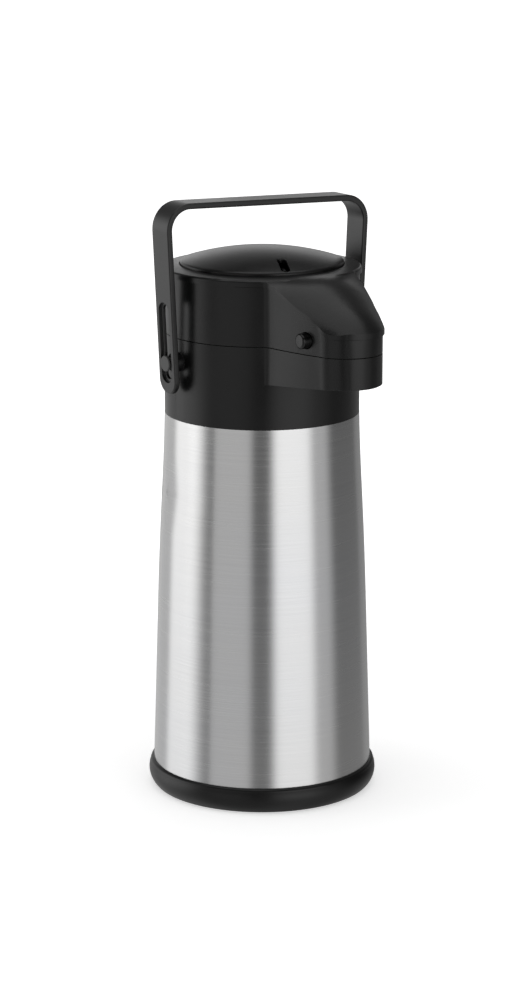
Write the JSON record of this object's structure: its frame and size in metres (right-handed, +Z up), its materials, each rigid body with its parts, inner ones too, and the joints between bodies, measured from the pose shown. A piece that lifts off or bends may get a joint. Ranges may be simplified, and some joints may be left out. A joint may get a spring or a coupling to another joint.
{
  "type": "pump airpot",
  "caption": "Insulated steel pump airpot with a hinged lid, press-down pump button, front spout, folding strap handle and swivel foot.",
  "frame": {"origin": "centre of the round foot, on the plane it stands on", "axes": "+Z up through the body; the spout points along -Y; the handle's pins lie along X"},
  "size_m": [0.1496, 0.1883, 0.3819],
  "materials": {
    "brushed_steel": "vertical-sided body, fine horizontal brushing",
    "flask_steel": "plain drawn steel, dull",
    "moulded_black": "satin moulded black",
    "collar_black": "satin moulded black, very fine grain",
    "cover_black": "satin moulded black, very fine grain",
    "handle_black": "satin moulded black",
    "trim_black": "smoother black",
    "pin_grey": "dark grey, satin",
    "inner_grey": "plain food-safe moulding",
    "glide_white": "slippery moulding",
    "silicone": "translucent soft ring",
    "bellows_rubber": "soft black",
    "foot_rubber": "matt black",
    "zinc_steel": "zinc-plated steel"
  },
  "bodies": {
    "foot": {"foot_ring": "foot_rubber", "foot_cap": "foot_rubber", "turntable_plate": "moulded_black", "glide_ring": "glide_white"},
    "vessel": {"base_ring": "moulded_black", "swivel_screw": "zinc_steel", "swivel_washer": "zinc_steel", "flask_cushion": "foot_rubber", "shell_bottom": "brushed_steel", "outer_shell": "brushed_steel", "inner_flask": "flask_steel", "mouth_gasket": "silicone", "neck_ring": "inner_grey", "collar": "collar_black", "hinge_pin": "zinc_steel", "tube_head": "inner_grey", "dip_tube": "inner_grey", "delivery_pipe": "inner_grey", "outlet_nozzle": "moulded_black"},
    "lid": {"lid_cover": "cover_black", "lid_shell": "collar_black", "lid_base": "inner_grey", "lid_screws": "zinc_steel", "lid_seal": "silicone", "air_valve": "silicone", "bellows": "bellows_rubber", "pump_spring": "zinc_steel", "release_spring_left": "zinc_steel", "release_spring_right": "zinc_steel"},
    "pump": {"pump_button": "cover_black", "pump_plate": "inner_grey", "plate_screws": "zinc_steel"},
    "lock": {"lock_slider": "trim_black"},
    "release_left": {"release_button_left": "trim_black"},
    "release_right": {"release_button_right": "trim_black"},
    "handle_pins": {"handle_pin_left": "pin_grey", "handle_pin_right": "pin_grey", "pin_clips": "zinc_steel"},
    "handle": {"handle_bail": "handle_black"}
  },
  "joints": [
    {"name": "swivel", "type": "hinge", "parent": "foot", "child": "vessel", "pos_m": [0, 0, 0.003], "axis": [0, 0, 1], "continuous": true},
    {"name": "handle_swing", "type": "hinge", "parent": "vessel", "child": "handle_pins", "pos_m": [0, 0, 0.2825], "axis": [-1, 0, 0], "range_deg": [0, 105]},
    {"name": "handle_slide", "type": "slide", "parent": "handle_pins", "child": "handle", "axis": [0, 0, 1], "range_m": [-0.02, 0.0055]},
    {"name": "lid_hinge", "type": "hinge", "parent": "vessel", "child": "lid", "pos_m": [0, 0.0655, 0.2968], "axis": [-1, 0, 0], "range_deg": [0, 16]},
    {"name": "pump_press", "type": "slide", "parent": "lid", "child": "pump", "axis": [0, 0, -1], "range_m": [0, 0.022], "stiffness_N_per_m": 500, "springref_m": -0.02, "deforming": ["bellows", "pump_spring"]},
    {"name": "lock_slide", "type": "slide", "parent": "pump", "child": "lock", "axis": [0.3987, 0.9171, 0], "range_m": [-0.005, 0]},
    {"name": "release_left_press", "type": "slide", "parent": "lid", "child": "release_left", "axis": [1, 0, 0], "range_m": [0, 0.0035], "stiffness_N_per_m": 900, "springref_m": -0.002, "deforming": ["release_spring_left"]},
    {"name": "release_right_press", "type": "slide", "parent": "lid", "child": "release_right", "axis": [-1, 0, 0], "range_m": [0, 0.0035], "stiffness_N_per_m": 900, "springref_m": -0.002, "deforming": ["release_spring_right"]}
  ]
}
